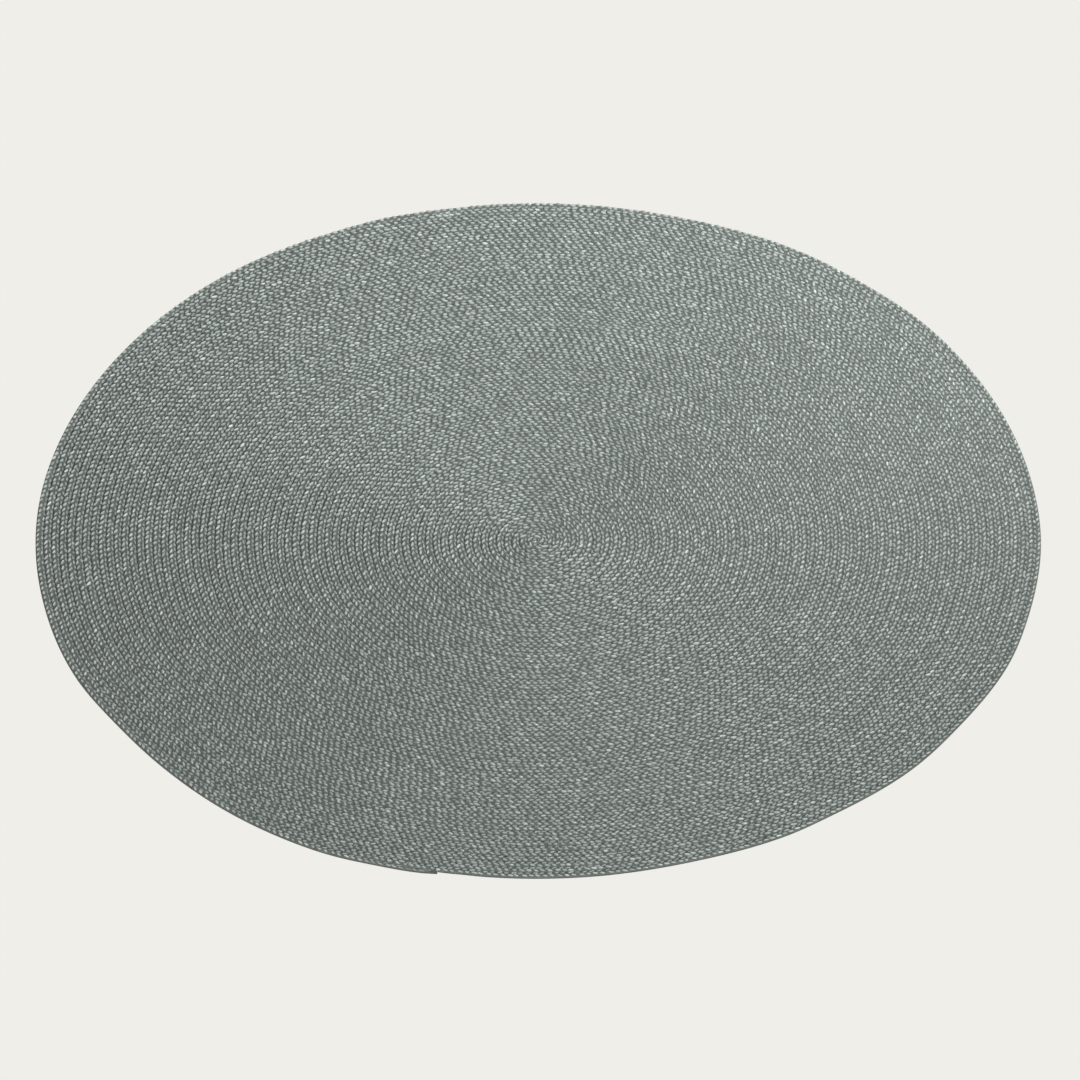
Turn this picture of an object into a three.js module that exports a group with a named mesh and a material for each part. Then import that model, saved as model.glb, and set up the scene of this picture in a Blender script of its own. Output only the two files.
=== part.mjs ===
// A flat round rug, wound from one long three-strand braid of yarn and stitched turn to turn.
// Millimetres, +Z up. The rug lies on the floor at z = 0, with +Y towards its far side.
// The origin is on the floor, in the middle of the box round the rug's uneven edge.

import * as THREE from 'three';

// Driving dimensions
const rugDiameter = 2000; // across the mean circle of the edge, which is 129 widths of a 15.5 mm braid
const rugThickness = 8.5; // the flat braid, loops over loops
const edgeRounding = 3; // how far the outermost turn's side rolls in, above and below
const outlineSteps = 360; // points round the edge
const roundingSteps = 2; // facets over each rounding

// How far the edge swings out of the mean circle (+) or into it (-), in millimetres, at each angle in
// degrees, counted anticlockwise from +X as seen from above. The winding grows by one turn between
// 213 and 246 degrees, where it steps out round the turn inside it. Its end is thinned from 246
// degrees on, and is tucked in and sewn down at 258 degrees, which leaves a small notch.
const edgeSwings = [
  { angle: 0, swing: 0.5 },
  { angle: 12, swing: -2.5 },
  { angle: 30, swing: -1 },
  { angle: 42, swing: 2.5 },
  { angle: 48, swing: 0.5 },
  { angle: 60, swing: 3.5 },
  { angle: 72, swing: -1 },
  { angle: 90, swing: -1 },
  { angle: 102, swing: -0.5 },
  { angle: 108, swing: 2.5 },
  { angle: 114, swing: 0.5 },
  { angle: 126, swing: 2.5 },
  { angle: 138, swing: -0.5 },
  { angle: 150, swing: -4 },
  { angle: 162, swing: -5 },
  { angle: 174, swing: -3 },
  { angle: 190, swing: -1.5 },
  { angle: 204, swing: 1.5 },
  { angle: 213, swing: -4 },
  { angle: 222, swing: 0 },
  { angle: 232, swing: 8 },
  { angle: 240, swing: 12.5 },
  { angle: 246, swing: 13.5 },
  { angle: 251, swing: 8.5 },
  { angle: 257, swing: 4 },
  { angle: 260, swing: -4.5 },
  { angle: 264, swing: -4.5 },
  { angle: 276, swing: -5 },
  { angle: 288, swing: -6 },
  { angle: 300, swing: 0 },
  { angle: 306, swing: -2 },
  { angle: 318, swing: 3.5 },
  { angle: 327, swing: 0 },
  { angle: 339, swing: 4 },
  { angle: 348, swing: 0 },
];

// The swing at any angle, on a smooth closed curve through the rows
function swingCurve(rows) {
  const closed = [...rows, { angle: rows[0].angle + 360, swing: rows[0].swing }];
  const angles = closed.map((row) => row.angle);
  const swings = closed.map((row) => row.swing);
  const curve = new THREE.CubicInterpolant(angles, swings, 1);
  curve.settings = {
    endingStart: THREE.WrapAroundEnding,
    endingEnd: THREE.WrapAroundEnding,
  };
  return (angle) => curve.evaluate(angle)[0];
}

// The rug's outline as seen from above, round the point on which the braid is wound
function edgeOutline() {
  const swingAt = swingCurve(edgeSwings);
  const points = [];
  for (let step = 0; step < outlineSteps; step += 1) {
    const angle = (360 * step) / outlineSteps;
    const radius = rugDiameter / 2 + swingAt(angle);
    const turned = THREE.MathUtils.degToRad(angle);
    points.push(new THREE.Vector2(radius * Math.cos(turned), radius * Math.sin(turned)));
  }
  return points;
}

// The wound and stitched braid: one flat solid with a rolled edge
function makeBraidedRug() {
  const outline = edgeOutline();
  const middle = new THREE.Box2().setFromPoints(outline).getCenter(new THREE.Vector2());
  const shape = new THREE.Shape(outline.map((point) => point.sub(middle)));
  const geometry = new THREE.ExtrudeGeometry(shape, {
    depth: rugThickness - 2 * edgeRounding,
    steps: 1,
    bevelEnabled: true,
    bevelThickness: edgeRounding,
    bevelSize: edgeRounding,
    bevelOffset: -edgeRounding,
    bevelSegments: roundingSteps,
  });
  const yarn = new THREE.MeshStandardMaterial({
    color: new THREE.Color().setRGB(0.24, 0.27, 0.25),
    roughness: 0.95,
    metalness: 0,
  });
  const rug = new THREE.Mesh(geometry, yarn);
  rug.name = 'braided_rug';
  rug.position.z = edgeRounding;
  return rug;
}

const part = new THREE.Group();
part.name = 'round_braided_rug';
part.add(makeBraidedRug());

export default part;
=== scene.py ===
import math

import bpy
import numpy as np
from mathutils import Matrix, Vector


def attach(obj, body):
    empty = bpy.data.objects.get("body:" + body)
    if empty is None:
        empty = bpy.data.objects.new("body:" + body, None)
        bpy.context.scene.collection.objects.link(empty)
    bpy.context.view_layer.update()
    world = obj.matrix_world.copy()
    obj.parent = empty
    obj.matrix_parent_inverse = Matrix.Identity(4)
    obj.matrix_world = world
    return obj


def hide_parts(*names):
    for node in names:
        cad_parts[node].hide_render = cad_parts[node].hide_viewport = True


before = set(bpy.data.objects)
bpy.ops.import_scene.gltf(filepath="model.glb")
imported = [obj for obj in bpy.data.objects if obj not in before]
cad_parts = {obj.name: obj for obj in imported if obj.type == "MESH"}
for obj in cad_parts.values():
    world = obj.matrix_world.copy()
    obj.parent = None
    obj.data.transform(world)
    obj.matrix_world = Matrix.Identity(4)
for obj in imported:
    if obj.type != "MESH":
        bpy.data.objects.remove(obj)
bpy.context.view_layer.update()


# The winding. The braid is laid round its own start, anticlockwise as seen from above, and each turn is
# sewn to the one inside it. All the turns step out over the one before at the same place, near the
# left front, and the braid's outer end is thinned, tucked in and sewn down just past that step.
turn_width = 0.0155
turns_in_radius = 64.5
braid_starts = 0.35  # turns out from the middle
winding_middle = np.array([-0.00154, -0.00194])
mean_radius = 1.0
step_begins = 222.0  # degrees anticlockwise from +X
step_ends = 246.0
step_ends_inside = 262.0  # the step is longer in the small turns of the middle
even_until, stepped_from = 0.05, 0.2  # shares of the radius: the innermost turns are an even spiral
tail_tip = 258.5
tail_joins = 260.0
tail_least_width = 0.004
tail_thinning = 0.18
roll_begins = 0.226  # in widths out from the braid's middle line, half the rug's thickness from its side
wavers = [  # metres at half the radius, waves a turn, and radians by which the next turn's are shifted
    {"swing": 0.000825, "waves": 3, "shift": 0.65},
    {"swing": 0.000675, "waves": 5, "shift": -0.91},
]

# The rug's uneven edge, read from the upright part of the CAD solid's side
upright_share = 0.2  # of the height, above and below its middle
rug_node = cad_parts["braided_rug"]
corners = np.empty(len(rug_node.data.vertices) * 3)
rug_node.data.vertices.foreach_get("co", corners)
corners = corners.reshape(-1, 3)
rug_height = corners[:, 2].max()
side_band = np.abs(corners[:, 2] / rug_height - 0.5) < upright_share
side = corners[side_band, :2] - winding_middle
side_angle = np.degrees(np.arctan2(side[:, 1], side[:, 0])) % 360
side_order = np.argsort(side_angle)
side_angle = side_angle[side_order]
side_swing = np.hypot(side[:, 0], side[:, 1])[side_order] - mean_radius


def smooth(value, low, high):
    """0 below low and 1 above high, with a soft rise between."""
    share = np.clip((value - low) / (high - low), 0.0, 1.0)
    return share * share * (3 - 2 * share)


def edge_swing(angle):
    """How far the rug's edge lies outside its mean circle."""
    return np.interp(np.asarray(angle) % 360, side_angle, side_swing, period=360)


def turn_swing(past_step):
    """The swing of the last turn, counted on from the step and without the tail that lies outside it."""
    swing = edge_swing(step_begins + past_step) + turn_width * (past_step > tail_joins - step_begins)
    under_tail = (past_step > step_ends - step_begins) & (past_step < tail_joins - step_begins)
    bridged = np.interp(
        past_step,
        [step_ends - step_begins, tail_joins - step_begins],
        [edge_swing(step_ends), turn_width + edge_swing(tail_joins)],
    )
    return np.where(under_tail, bridged, swing)


def turn_waver(turned):
    """How far a turn swings in and out by itself, at half the radius, where the turns waver most."""
    swings = [
        row["swing"] * np.sin(np.radians(row["waves"] * turned) + row["shift"] * turned / 360)
        for row in wavers
    ]
    return np.sum(swings, axis=0)


def outer_side(turned):
    """Distance from the middle to the outer side of the braid. turned counts on over all the turns, in
    degrees, and the last turn ends at tail_tip."""
    turns = np.floor((turned - step_begins) / 360)
    past_step = turned - step_begins - 360 * turns
    share = np.clip(1 + turns / turns_in_radius, 0.0, 1.0)
    last_growth = smooth(past_step, 0.0, step_ends - step_begins)
    inside_growth = smooth(past_step, 0.0, step_ends_inside - step_begins)
    growth = inside_growth * (1 - share) + last_growth * share
    even_spiral = 1 - smooth(share, even_until, stepped_from)
    growth = growth * (1 - even_spiral) + past_step / 360 * even_spiral
    wobble = turn_swing(past_step) - turn_width * last_growth
    reach = mean_radius + turn_width * (turns + growth)
    return reach + share * wobble + 4 * share * (1 - share) * turn_waver(turned)


def side_lines(turned):
    """Distances from the middle to the braid's inner and outer side. The tail ends at the rug's edge."""
    inner = outer_side(turned - 360)
    to_edge = np.maximum(mean_radius + edge_swing(turned) - inner, tail_least_width)
    return inner, np.where(turned > step_ends, inner + to_edge, outer_side(turned))


# The braid's middle line, from its start to the tip of its tail
path_step = 0.25  # degrees
first_turned = tail_tip - 360 * (turns_in_radius - braid_starts)
path_turned = np.arange(first_turned, tail_tip + path_step / 2, path_step)
path_radius = np.mean(side_lines(path_turned), axis=0)
path_steps = np.radians(path_step) * (path_radius[1:] + path_radius[:-1]) / 2
path_length = np.concatenate([[0], np.cumsum(path_steps)])
braid_length = path_length[-1]
edge_turn_starts = np.interp(tail_tip - 360, path_turned, path_length)


def braid_points(along, across, height):
    """Places in the rug of points given along the braid in metres, across it in widths from its middle
    line, outwards, and by height. On the outermost turn, points past roll_begins go on over the rolled
    edge and down. The tail thins over its last 20 cm."""
    turned = np.interp(along, path_length, path_turned)
    inner, outer = side_lines(turned)
    roll = np.clip((across - roll_begins) / (0.5 - roll_begins), 0, None) * (along > edge_turn_starts)
    out_of_middle = height / rug_height * 2 - 1
    rolled_across = roll_begins + (0.5 - roll_begins) * out_of_middle * np.sin(roll)
    across = np.where(roll > 0, rolled_across, across)
    height = np.where(roll > 0, rug_height / 2 * (1 + out_of_middle * np.cos(roll)), height)
    radius = (inner + outer) / 2 + across * (outer - inner)
    angle = np.radians(turned)
    thin = 1 - tail_thinning * smooth(turned, step_ends, tail_tip)
    x = winding_middle[0] + radius * np.cos(angle)
    y = winding_middle[1] + radius * np.sin(angle)
    return np.stack(np.broadcast_arrays(x, y, height * thin), axis=-1)


# The loops of yarn that show on the braid. Each of its three strands goes from side to side, over one
# neighbour and under the next, so that the upper face shows two rows of plump ovals. They dip under
# their neighbours at both ends, and the outer row is the higher one and shows more.
millimetre = 0.001
loop_pitch = 0.0143
loop_foot = 0.0040
# Places are across the braid in widths, sizes in millimetres, leans in degrees, crowns in half widths
# outwards, and staggers in pitches
loop_rows = [
    {
        "place": 0.17, "edge_place": 0.23, "length": 16.2, "width": 9.4, "edge_width": 12.0,
        "top": 8.8, "crown": 0.0, "lean": 24, "stagger": 0.0,
    },
    {
        "place": -0.34, "edge_place": -0.34, "length": 14.2, "width": 8.6, "edge_width": 8.6,
        "top": 7.3, "crown": 0.15, "lean": -10, "stagger": 0.56,
    },
]
# How much one loop differs from the next
uneven_along, uneven_across, uneven_top = 1.0, 0.55, 0.25  # millimetres
uneven_lean = 7  # degrees
uneven_length, uneven_width = 0.12, 0.09  # shares of the loop's own size
uneven_pitch = 0.03  # pitches, and it adds up along the braid
top_limits = (-2, 1.3)  # in spreads, so that no loop stands far above the CAD solid
loops_a_row = int(braid_length / loop_pitch) - 1
loop_piece_count = 5
seeds = np.random.default_rng(41)
pitch_drift = np.cumsum(uneven_pitch * seeds.standard_normal(loops_a_row + 2))
pitch_drift -= np.linspace(0, pitch_drift[-1], len(pitch_drift))

# One loop, from its foot to its crown: two rings of eight corners and a short ridge
ring_corners = 8
foot_turn = np.arange(ring_corners) / ring_corners * 2 * math.pi
shoulder_turn = foot_turn + math.pi / ring_corners
shoulder_lengthwise, shoulder_crosswise = 0.78, 0.52
shoulder_rise = 0.64
ridge_reach = 0.40
shoulder_long = shoulder_lengthwise * np.cos(shoulder_turn)
shoulder_cross = shoulder_crosswise * np.sin(shoulder_turn)
lengthwise = np.concatenate([np.cos(foot_turn), shoulder_long, [ridge_reach, -ridge_reach]])
crosswise = np.concatenate([np.sin(foot_turn), shoulder_cross, [0, 0]])
rise = np.repeat([0, shoulder_rise, 1], [ring_corners, ring_corners, 2])
foot_ring = np.arange(ring_corners)
next_foot = np.roll(foot_ring, -1)
shoulder_ring = foot_ring + ring_corners
next_shoulder = next_foot + ring_corners
fore_crown, aft_crown = 2 * ring_corners, 2 * ring_corners + 1
flank_up = np.stack([foot_ring, shoulder_ring, next_foot], axis=1)
flank_down = np.stack([next_foot, shoulder_ring, next_shoulder], axis=1)
fore_cap = [(next_shoulder[i], shoulder_ring[i], fore_crown) for i in (6, 7, 0)]
aft_cap = [(next_shoulder[i], shoulder_ring[i], aft_crown) for i in (2, 3, 4)]
loop_triangles = np.concatenate([flank_up, flank_down, fore_cap, aft_cap])
loop_quads = np.array([
    (shoulder_ring[2], shoulder_ring[1], fore_crown, aft_crown),
    (shoulder_ring[6], shoulder_ring[5], aft_crown, fore_crown),
])
loop_base = foot_ring[None]

# Each loop is an oval in a square of its own, in the map for the yarn's pattern and in the one for baking
oval_reach = 0.4
baked_middle, baked_reach = 0.55, 0.42
base_middle, base_reach = 0.06, 0.04


def mesh_piece(name, points, face_groups, yarn_map, bake_map):
    """A smooth-shaded piece from an array of corners and arrays of faces, with two maps given by face
    corner: one that the yarn's pattern follows, and one without overlaps, for baking."""
    mesh = bpy.data.meshes.new(name)
    mesh.vertices.add(len(points))
    mesh.vertices.foreach_set("co", np.ascontiguousarray(points, dtype=np.float32).ravel())
    flat = np.concatenate([faces.ravel() for faces in face_groups])
    sizes = np.concatenate([np.full(len(faces), faces.shape[1]) for faces in face_groups])
    mesh.loops.add(len(flat))
    mesh.loops.foreach_set("vertex_index", flat.astype(np.int32))
    mesh.polygons.add(len(sizes))
    mesh.polygons.foreach_set("loop_start", (np.cumsum(sizes) - sizes).astype(np.int32))
    for layer_name, parts in (("yarn", yarn_map), ("OFBake", bake_map)):
        corner_map = np.concatenate([part.reshape(-1, 2) for part in parts])
        layer = mesh.uv_layers.new(name=layer_name)
        layer.uv.foreach_set("vector", corner_map.astype(np.float32).ravel())
    mesh.update(calc_edges=True)
    mesh.validate()
    mesh.shade_smooth()
    piece = bpy.data.objects.new(name, mesh)
    bpy.context.scene.collection.objects.link(piece)
    return piece


def loops_piece(name, points, numbers):
    """Many loops as one piece: their corners as an array of loops by corners, and each loop's number. In
    the map for baking, the hidden base of each loop is small in the corner of the loop's square."""
    count = np.arange(len(numbers))
    squares_a_side = math.ceil(math.sqrt(len(numbers)))
    baked = np.stack([count % squares_a_side, count // squares_a_side], axis=-1)[:, None, None]
    squares = np.stack([numbers, np.zeros(len(numbers))], axis=-1)[:, None, None]
    oval = np.stack([lengthwise, crosswise], axis=-1)
    faces, yarn_map, bake_map = [], [], []
    for group in (loop_triangles, loop_quads, loop_base):
        middle, reach = (base_middle, base_reach) if group is loop_base else (baked_middle, baked_reach)
        faces.append((group[None] + count[:, None, None] * len(rise)).reshape(-1, group.shape[1]))
        yarn_map.append(squares + 0.5 + oval_reach * oval[group][None])
        bake_map.append((baked + middle + reach * oval[group][None]) / squares_a_side)
    return mesh_piece(name, points.reshape(-1, 3), faces, yarn_map, bake_map)


def loop_row(row):
    """The corners of a row's loops, each a little different, as an array of loops by corners."""
    draws = seeds.standard_normal((6, loops_a_row))
    along_draw, across_draw, lean_draw, length_draw, width_draw, top_draw = draws
    counted = np.arange(loops_a_row) + row["stagger"]
    counted += 0.5 + np.interp(counted, np.arange(len(pitch_drift)), pitch_drift)
    along = counted * loop_pitch + uneven_along * millimetre * along_draw
    on_edge = along > edge_turn_starts
    place = np.where(on_edge, row["edge_place"], row["place"])
    across = place * turn_width + uneven_across * millimetre * across_draw
    lean = np.radians(row["lean"] + uneven_lean * lean_draw)[:, None]
    half_length = row["length"] / 2 * millimetre * (1 + uneven_length * length_draw)[:, None]
    width = np.where(on_edge, row["edge_width"], row["width"])
    half_width = (width / 2 * millimetre * (1 + uneven_width * width_draw))[:, None]
    top = (row["top"] + uneven_top * np.clip(top_draw, *top_limits)) * millimetre
    endways = half_length * lengthwise
    sideways = half_width * (crosswise + row["crown"] * rise)
    along = along[:, None] + endways * np.cos(lean) - sideways * np.sin(lean)
    across = across[:, None] + endways * np.sin(lean) + sideways * np.cos(lean)
    return braid_points(along, across / turn_width, loop_foot + rise * (top - loop_foot)[:, None])


# The loops are numbered in turn from the outer and the inner row
loop_points = np.stack([loop_row(row) for row in loop_rows], axis=1)
loop_points = loop_points.reshape(len(loop_rows) * loops_a_row, len(rise), 3)
loop_pieces = []
for piece_index, numbers in enumerate(np.array_split(np.arange(len(loop_points)), loop_piece_count)):
    loop_pieces.append(loops_piece(f"braid_loops_{piece_index + 1}", loop_points[numbers], numbers))


def node(tree, kind, inputs=None, **settings):
    """A new node with the given settings, and with its inputs set to values or linked from sockets."""
    made = tree.nodes.new(kind)
    for name, value in settings.items():
        setattr(made, name, value)
    for name, value in (inputs or {}).items():
        if isinstance(value, bpy.types.NodeSocket):
            tree.links.new(value, made.inputs[name])
        else:
            made.inputs[name].default_value = value
    return made


def maths(tree, operation, *values):
    """The result of one maths node."""
    return node(tree, "ShaderNodeMath", dict(enumerate(values)), operation=operation).outputs[0]


def effect_group(name, inputs, outputs):
    """A new group of shader nodes with named number inputs, its outputs given by name and kind, and the
    sockets inside it that give its inputs."""
    group = bpy.data.node_groups.new(name, "ShaderNodeTree")
    for socket_name in inputs:
        group.interface.new_socket(socket_name, in_out="INPUT", socket_type="NodeSocketFloat")
    for socket_name, kind in outputs.items():
        group.interface.new_socket(socket_name, in_out="OUTPUT", socket_type=kind)
    return group, node(group, "NodeGroupInput").outputs


# The fibre: several soft melange yarns side by side in each strand, in muted sage and grey with pale
# flecks, with a tone for each loop and a slow drift along the braid. The grooves between the yarns get a
# little painted shade and their crests a little painted highlight. Distances are in millimetres
yarn_spacing = 4.4
pattern_along, pattern_across, pattern_by_loop = 0.14, 0.5, 7.31  # steps a millimetre, and a loop
least_tone = 0.09
loop_share, melange_share, drift_share, yarn_groove_shade = 0.18, 0.40, 0.12, 0.05
pale_loop_share, pale_loop_rarity = 0.15, 12.0
yarn_relief = 0.3
fleck_colour = (0.72, 0.77, 0.735, 1)
fibre, given = effect_group(
    "melange_fibre",
    ["Along strand", "Across strand", "Loop"],
    {"Colour": "NodeSocketColor", "Height": "NodeSocketFloat"},
)
by_loop = {"W": given["Loop"]}
loop_tone = node(fibre, "ShaderNodeTexWhiteNoise", by_loop, noise_dimensions="1D").outputs["Value"]
slowly = {"W": given["Loop"], "Scale": 0.11, "Detail": 1.0}
drift = node(fibre, "ShaderNodeTexNoise", slowly, noise_dimensions="1D").outputs["Fac"]
in_strand = node(fibre, "ShaderNodeCombineXYZ", {
    "X": maths(fibre, "MULTIPLY", given["Along strand"], pattern_along),
    "Y": maths(fibre, "MULTIPLY", given["Across strand"], pattern_across),
    "Z": maths(fibre, "MULTIPLY", given["Loop"], pattern_by_loop),
}).outputs[0]
mottled = {"Vector": in_strand, "Scale": 1.0, "Detail": 3.0, "Roughness": 0.6}
melange = node(fibre, "ShaderNodeTexNoise", mottled).outputs["Fac"]
specked = {"Vector": in_strand, "Scale": 1.7, "Detail": 1.0, "Distortion": 0.4}
flecks = node(fibre, "ShaderNodeTexNoise", specked).outputs["Fac"]
yarn_turn = maths(fibre, "MULTIPLY", given["Across strand"], 2 * math.pi / yarn_spacing)
yarns = maths(fibre, "COSINE", yarn_turn)
loop_tones = maths(fibre, "MULTIPLY_ADD", loop_tone, loop_share, least_tone)
drift_tones = maths(fibre, "MULTIPLY", drift, drift_share)
mottled_tones = maths(fibre, "MULTIPLY_ADD", melange, melange_share, drift_tones)
pale_loops = maths(fibre, "MULTIPLY", maths(fibre, "POWER", loop_tone, pale_loop_rarity), pale_loop_share)
# Painted shade in the grooves between the yarns and painted highlight on their crests, with the pale
# loops
pale_loops_and_yarn_shade = maths(fibre, "ADD", pale_loops, maths(fibre, "MULTIPLY", yarns, yarn_groove_shade))
tone = maths(fibre, "ADD", maths(fibre, "ADD", loop_tones, mottled_tones), pale_loops_and_yarn_shade)
tone_ramp = node(fibre, "ShaderNodeValToRGB", {"Fac": tone})
dark_tone, pale_tone = tone_ramp.color_ramp.elements
dark_tone.position = 0.20
dark_tone.color = (0.135, 0.160, 0.147, 1)
pale_tone.position = 0.95
pale_tone.color = (0.66, 0.71, 0.675, 1)
middle_tone = tone_ramp.color_ramp.elements.new(0.62)
middle_tone.color = (0.36, 0.405, 0.378, 1)
fleck_edge = {"Value": flecks, "From Min": 0.65, "From Max": 0.75}
fleck_mask = node(fibre, "ShaderNodeMapRange", fleck_edge).outputs[0]
fleck_mix = {0: fleck_mask, 6: tone_ramp.outputs[0], 7: fleck_colour}
flecked = node(fibre, "ShaderNodeMix", fleck_mix, data_type="RGBA").outputs[2]
height = maths(fibre, "ADD", maths(fibre, "MULTIPLY", yarns, yarn_relief), melange)
node(fibre, "NodeGroupOutput", {"Colour": flecked, "Height": height})

# Painted shade low down between the loops and under the rolled edge, but not on the face under the rug
darkest_at = 0.0035  # metres above the floor
facing_floor = -0.7  # the upward part of a normal, below which the face is under the rug
painted_low_shade, given = effect_group("painted_shade_by_the_floor", ["Begins at"], {"Shade": "NodeSocketFloat"})
surface = node(painted_low_shade, "ShaderNodeNewGeometry").outputs
above_floor = node(painted_low_shade, "ShaderNodeSeparateXYZ", {"Vector": surface["Position"]}).outputs["Z"]
facing_up = node(painted_low_shade, "ShaderNodeSeparateXYZ", {"Vector": surface["True Normal"]}).outputs["Z"]
fading = {"Value": above_floor, "From Min": given["Begins at"], "From Max": darkest_at}
low = node(painted_low_shade, "ShaderNodeMapRange", fading).outputs[0]
shade = maths(painted_low_shade, "MULTIPLY", low, maths(painted_low_shade, "GREATER_THAN", facing_up, facing_floor))
node(painted_low_shade, "NodeGroupOutput", {"Shade": shade})


def new_material(name):
    """An empty material and its node tree."""
    material = bpy.data.materials.new(name)
    material.use_nodes = True
    material.node_tree.nodes.clear()
    return material, material.node_tree


def yarn_finish(tree, colour, painted_shade_mask, relief, specular):
    """The matt end of a yarn material. Its colour is painted toward a deep shade colour where the shade
    mask is 1, and relief raises it.
    """
    # Painted shade: the colour that the gaps, the bed under the loops and low parts go to, where shade
    # falls
    painted_shade_colour = (0.035, 0.042, 0.038, 1)
    shaded = node(tree, "ShaderNodeMix", {0: painted_shade_mask, 6: colour, 7: painted_shade_colour}, data_type="RGBA")
    bump = node(tree, "ShaderNodeBump", {"Height": relief, "Strength": 0.8, "Distance": millimetre})
    shader = node(tree, "ShaderNodeBsdfPrincipled", {
        "Base Color": shaded.outputs[2],
        "Roughness": 0.7,
        "Specular IOR Level": specular,
        "Sheen Weight": 0.12,
        "Sheen Roughness": 0.5,
        "Normal": bump.outputs[0],
    })
    node(tree, "ShaderNodeOutputMaterial", {"Surface": shader.outputs[0]})


# Shade is painted on the loops' yarn where they dip under their neighbours and low down near the floor,
# and the inner row, which lies lower, gets a little painted shade as well
seen_half_length, seen_half_width = 6.0, 4.6  # millimetres
end_dip = 0.96  # the ends' share in the dip, against the sides' share of 1
# Painted shade on the inner row, which lies lower
inner_row_painted_shade = 0.16
loop_yarn, tree = new_material("melange_yarn")
map_place = node(tree, "ShaderNodeUVMap", uv_map="yarn").outputs[0]
split = node(tree, "ShaderNodeSeparateXYZ", {"Vector": map_place}).outputs
loop = maths(tree, "FLOOR", split["X"])
past_middle = maths(tree, "SUBTRACT", maths(tree, "FRACT", split["X"]), 0.5)
out_along = maths(tree, "DIVIDE", past_middle, oval_reach)
out_across = maths(tree, "DIVIDE", maths(tree, "SUBTRACT", split["Y"], 0.5), oval_reach)
effect = node(tree, "ShaderNodeGroup", {
    "Along strand": maths(tree, "MULTIPLY", out_along, seen_half_length),
    "Across strand": maths(tree, "MULTIPLY", out_across, seen_half_width),
    "Loop": loop,
}, node_tree=fibre).outputs
end_share = maths(tree, "POWER", maths(tree, "MULTIPLY", out_along, end_dip), 2.0)
side_share = maths(tree, "POWER", out_across, 2.0)
from_crown = maths(tree, "SQRT", maths(tree, "ADD", end_share, side_share))
# Painted shade towards each loop's rim, where it dips under its neighbours
gap_edge = {"Value": from_crown, "From Min": 0.35, "From Max": 0.9, "To Max": 0.88}
gap = node(tree, "ShaderNodeMapRange", gap_edge, interpolation_type="SMOOTHSTEP").outputs[0]
# Painted shade on the inner row
painted_row_shade = maths(tree, "MULTIPLY", maths(tree, "MODULO", loop, 2.0), inner_row_painted_shade)
# Painted shade low down near the floor
painted_floor_shade = node(tree, "ShaderNodeGroup", {"Begins at": 0.0080}, node_tree=painted_low_shade).outputs["Shade"]
painted_shade_mask = maths(tree, "MAXIMUM", maths(tree, "MAXIMUM", gap, painted_row_shade), painted_floor_shade)
yarn_finish(tree, effect["Colour"], painted_shade_mask, effect["Height"], 0.35)

for piece in loop_pieces:
    piece.data.materials.append(loop_yarn)
    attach(piece, "root")


# The rest of the braid, under its loops and of the same yarn: a lower side pressed flat by the floor,
# with a groove between each turn and the next, and over it the bed of crossing strands. All the turns
# but the outermost are one piece, and the outermost turn is sewn round it.
groove_height = 0.0049
# The strips under the loops are set apart so that the material can paint shade on them
bed_shift = 3  # sets the strips under the loops apart in the map for the yarn's pattern
strip_margin = 0.05  # of a strip, in the map for baking
end_places, end_reach = (0.1, 0.2), (0.02, 0.2)  # of that map's width, and of a row's height


def tube_piece(name, points, along, across, under_loops, columns_a_row):
    """A closed tube from an array of rings by corners, each with its place along and across the braid,
    and with the numbers of the strips that lie under the loops. In the map for baking the tube is cut
    into rows, one over the other, and its two ends are ovals in the free row at the top."""
    grid = np.arange(along.size).reshape(along.shape)
    near, far = grid[:-1], grid[1:]
    strips = np.stack([near, far, np.roll(far, -1, 1), np.roll(near, -1, 1)], axis=-1)
    ends = [grid[:1, ::-1], grid[-1:]]
    place = np.stack([along / loop_pitch, np.clip(across, -0.5, 0.5)], axis=-1).reshape(-1, 2)
    strip_map = place[strips]
    strip_map[:, under_loops, :, 1] += bed_shift
    yarn_map = [strip_map, *(place[end] for end in ends)]
    corners_a_ring = along.shape[1]
    column = np.arange(len(strips))[:, None, None]
    strip = np.arange(corners_a_ring)[None, :, None]
    rows = len(strips) // columns_a_row + 2
    over_strip = np.array([strip_margin, strip_margin, 1 - strip_margin, 1 - strip_margin])
    u = (column % columns_a_row + np.array([0, 1, 1, 0])) / columns_a_row
    v = (column // columns_a_row + (strip + over_strip) / corners_a_ring) / rows
    bake_map = [np.stack(np.broadcast_arrays(u, v), axis=-1)]
    round_end = np.arange(corners_a_ring) / corners_a_ring * 2 * math.pi
    end_v = 1 + end_reach[1] / rows * (np.sin(round_end) - 2)
    for end_place in end_places:
        bake_map.append(np.stack([end_place + end_reach[0] * np.cos(round_end), end_v], axis=-1))
    return mesh_piece(name, points.reshape(-1, 3), [strips.reshape(-1, 4), *ends], yarn_map, bake_map)


# All the turns but the outermost. The rows go round the tube from its inner side: out along the floor,
# up, and back through the bed
under_rows = np.array([-0.5, -0.3, 0.3, 0.5, 0.25, -0.27])
under_heights = np.array([groove_height, 0.0, 0.0, groove_height, 0.0062, 0.0050])
bed_strips = [3, 4, 5]
under_columns_a_row = 236
column_pitch = loop_pitch / 4
# Small turns need all the columns, and larger ones only every eighth or twelfth
small_turns, middle_turns = 0.1, 0.5  # metres from the middle
last_column = edge_turn_starts / column_pitch + 1
columns = np.arange(int(last_column))
column_reach = outer_side(np.interp(columns * column_pitch, path_length, path_turned))
every = np.where(column_reach < small_turns, 1, np.where(column_reach < middle_turns, 8, 12))
columns = np.append(columns[columns % every == 0], last_column)
under_along, under_across = np.meshgrid(columns * column_pitch, under_rows, indexing="ij")
underside = tube_piece(
    "braid_underside",
    braid_points(under_along, under_across, under_heights),
    under_along,
    under_across,
    bed_strips,
    under_columns_a_row,
)

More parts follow.
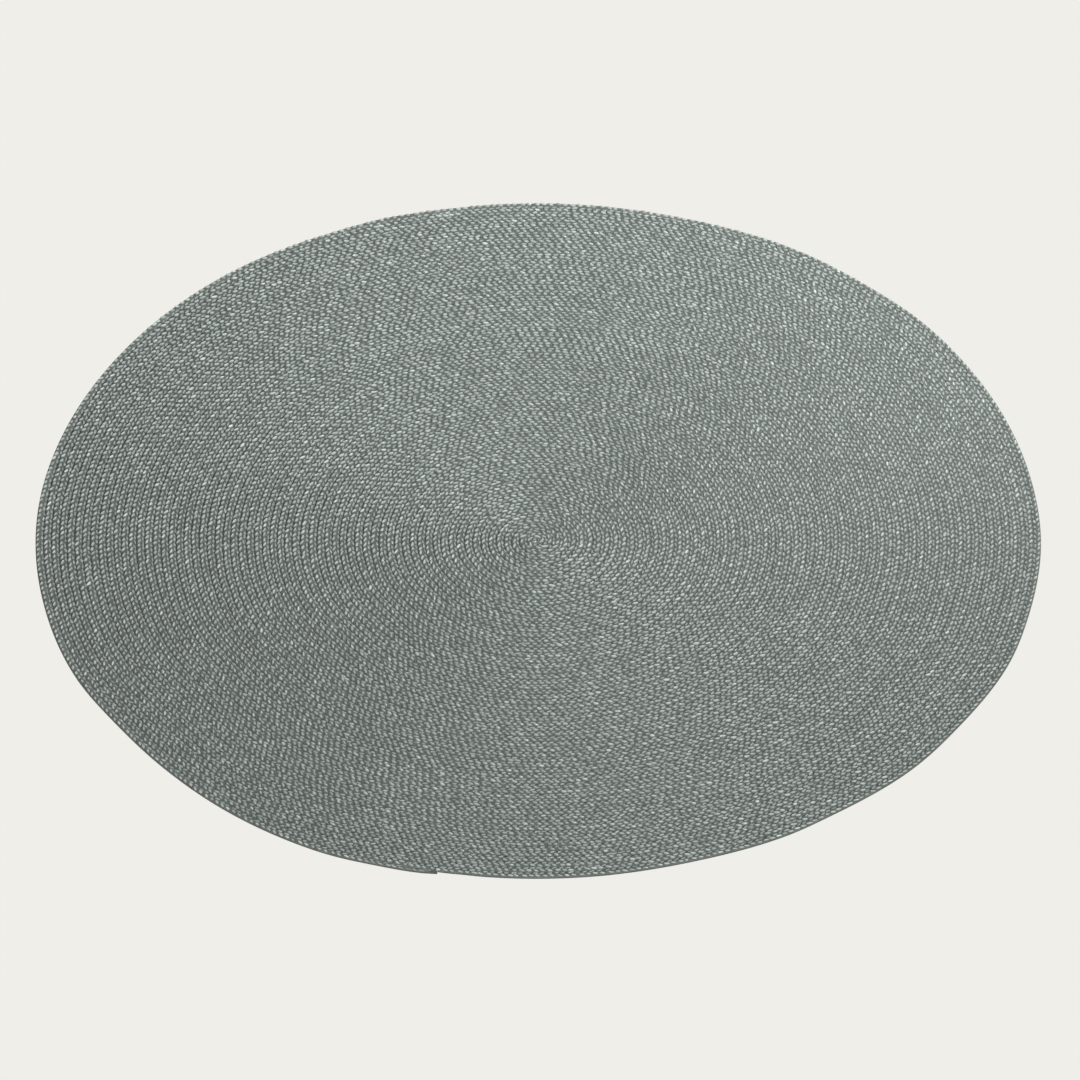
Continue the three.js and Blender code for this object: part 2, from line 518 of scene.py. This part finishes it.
# The outermost turn. Its outer side rolls over from the top to the floor, and its outer row of loops
# is broader and goes over the roll with it. Its end is thinned, tucked in and sewn down
flat_below = 0.2  # of the rug's height: the lower side is pressed flat on the floor
roll_angles = np.arange(180, -1, -30)  # degrees over the edge, from the floor up to the top
roll_places = roll_begins + roll_angles * ((0.5 - roll_begins) * np.radians(1))
bed_angles, bed_heights = [60, 120], [0.82, 1.0]  # the roll's upper part is lower, under the loops
roll_heights = np.interp(roll_angles, bed_angles, bed_heights) * rug_height
edge_loops = int((braid_length - edge_turn_starts) / loop_pitch)
edge_gap = 0.1 * millimetre  # the roll is only there past the turn's start
edge_columns = np.linspace(edge_turn_starts + edge_gap, braid_length, edge_loops)
edge_rows = np.concatenate([[-0.5], roll_places, [-0.5]])
edge_heights = np.concatenate([[0.0], roll_heights, [groove_height]])
edge_along, edge_across = np.meshgrid(edge_columns, edge_rows, indexing="ij")
edge_points = braid_points(edge_along, edge_across, edge_heights)
edge_points[edge_points[..., 2] < flat_below * rug_height, 2] = 0.0
edge_strips_under_loops = list(range(1, len(roll_angles) + 1))
edge_columns_a_row = 72
edge_turn = tube_piece(
    "edge_turn",
    edge_points,
    edge_along,
    edge_across,
    edge_strips_under_loops,
    edge_columns_a_row,
)

# Pressed loops are flat, so the material draws their ovals over an even face, with gaps between that get
# painted shade. They lie at 45 degrees to the braid, in two rows that mirror each other. Under the loops
# it paints shade, deepest low down near the floor
row_place = 0.25  # widths from the braid's middle line
oval_half_length, oval_half_width = 6.2, 5.0  # millimetres
loop_axes_scale = loop_pitch / millimetre * math.sqrt(0.5)
# Painted shade in the gaps between the pressed ovals, and on the bed under the loops
painted_gap_shade, gap_depth = 0.6, 2.0
painted_bed_shade = 0.84
pressed_yarn, tree = new_material("pressed_yarn")
map_place = node(tree, "ShaderNodeUVMap", uv_map="yarn").outputs[0]
split = node(tree, "ShaderNodeSeparateXYZ", {"Vector": map_place}).outputs
out_of_row = maths(tree, "SUBTRACT", maths(tree, "ABSOLUTE", split["Y"]), row_place)
past_row = maths(tree, "MULTIPLY", out_of_row, turn_width / loop_pitch)
inner_row = maths(tree, "LESS_THAN", split["Y"], 0.0)
row_shift = maths(tree, "MULTIPLY_ADD", inner_row, loop_rows[1]["stagger"], past_row)
in_row = maths(tree, "SUBTRACT", split["X"], row_shift)
nearest = maths(tree, "FLOOR", in_row)
past_middle = maths(tree, "SUBTRACT", maths(tree, "SUBTRACT", in_row, nearest), 0.5)
along_mm = maths(tree, "MULTIPLY", maths(tree, "ADD", past_middle, past_row), loop_axes_scale)
across_mm = maths(tree, "MULTIPLY", past_row, loop_axes_scale)
strand_along = maths(tree, "ADD", along_mm, across_mm)
strand_across = maths(tree, "SUBTRACT", across_mm, along_mm)
effect = node(tree, "ShaderNodeGroup", {
    "Along strand": strand_along,
    "Across strand": strand_across,
    "Loop": maths(tree, "MULTIPLY_ADD", nearest, 2.0, inner_row),
}, node_tree=fibre).outputs
end_share = maths(tree, "POWER", maths(tree, "DIVIDE", strand_along, oval_half_length), 2.0)
side_share = maths(tree, "POWER", maths(tree, "DIVIDE", strand_across, oval_half_width), 2.0)
from_crown = maths(tree, "SQRT", maths(tree, "ADD", end_share, side_share))
gap_edge = {"Value": from_crown, "From Min": 0.6, "From Max": 1.1}
gap = node(tree, "ShaderNodeMapRange", gap_edge, interpolation_type="SMOOTHSTEP").outputs[0]
in_bed = maths(tree, "GREATER_THAN", split["Y"], 1.0)
# Painted shade on the bed under the loops, deepest low down near the floor
painted_floor_shade = node(tree, "ShaderNodeGroup", {"Begins at": 0.0085}, node_tree=painted_low_shade).outputs["Shade"]
under_loops = maths(tree, "MULTIPLY", in_bed, maths(tree, "MAXIMUM", painted_floor_shade, painted_bed_shade))
painted_shade_mask = maths(tree, "MAXIMUM", maths(tree, "MULTIPLY", gap, painted_gap_shade), under_loops)
relief = maths(tree, "SUBTRACT", effect["Height"], maths(tree, "MULTIPLY", gap, gap_depth))
yarn_finish(tree, effect["Colour"], painted_shade_mask, relief, 0.4)

for piece in [underside, edge_turn]:
    piece.data.materials.append(pressed_yarn)
    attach(piece, "root")
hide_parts("braided_rug")


# The floor, plain and pale. It gives off its own even colour, so the rug throws no shadow on it, and it
# lies just clear of the underside.
floor_half = 40.0
floor_height = -0.0005
pale_room = (0.863, 0.855, 0.815, 1)
floor_plan = [(-1, -1), (1, -1), (1, 1), (-1, 1)]
floor_corners = [(x * floor_half, y * floor_half, floor_height) for x, y in floor_plan]
floor_mesh = bpy.data.meshes.new("floor")
floor_mesh.from_pydata(floor_corners, [], [(0, 1, 2, 3)])
floor = bpy.data.objects.new("floor", floor_mesh)
bpy.context.scene.collection.objects.link(floor)
floor_paint, tree = new_material("floor_paint")
glow = node(tree, "ShaderNodeEmission", {"Color": pale_room, "Strength": 1.0})
node(tree, "ShaderNodeOutputMaterial", {"Surface": glow.outputs[0]})
floor.data.materials.append(floor_paint)


# Light: broad soft daylight from the near right, a large lamp over the rug's far right part, and an
# even pale room.
world = bpy.data.worlds.new("room")
bpy.context.scene.world = world
world.use_nodes = True
room_light = world.node_tree.nodes["Background"].inputs
room_light["Color"].default_value = pale_room
room_light["Strength"].default_value = 0.28


def place_lamp(name, kind, location, energy):
    """A lamp that faces the middle of the rug."""
    data = bpy.data.lights.new(name, kind)
    data.energy = energy
    lamp = bpy.data.objects.new(name, data)
    lamp.location = location
    lamp.rotation_mode = "QUATERNION"
    lamp.rotation_quaternion = (-lamp.location).to_track_quat("-Z", "Y")
    bpy.context.scene.collection.objects.link(lamp)
    return lamp


daylight = place_lamp("daylight", "SUN", (0.85, -2.9, 1.95), 4.3)
daylight.data.angle = math.radians(12)
overhead = place_lamp("overhead_lamp", "AREA", (0.95, 1.1, 1.35), 30)
overhead.data.shape = "DISK"
overhead.data.size = 0.8
overhead.visible_camera = False


# The camera. It looks down at the rug from the front with parallel lines of sight, so that the round
# rug shows as an even oval.
camera_elevation = math.radians(42.2)
camera_distance = 14.0
framed_width = 2.1448
aim = Vector((0.0034, 0.0068, 0.0))
back = Vector((0.0, -math.cos(camera_elevation), math.sin(camera_elevation)))
camera_data = bpy.data.cameras.new("camera")
camera_data.type = "ORTHO"
camera_data.ortho_scale = framed_width
camera_data.clip_start = 0.1
camera_data.clip_end = 60.0
camera = bpy.data.objects.new("camera", camera_data)
camera.location = aim + back * camera_distance
camera.rotation_mode = "QUATERNION"
camera.rotation_quaternion = (-back).to_track_quat("-Z", "Y")
bpy.context.scene.collection.objects.link(camera)
bpy.context.scene.camera = camera
bpy.context.scene.view_settings.view_transform = "Standard"
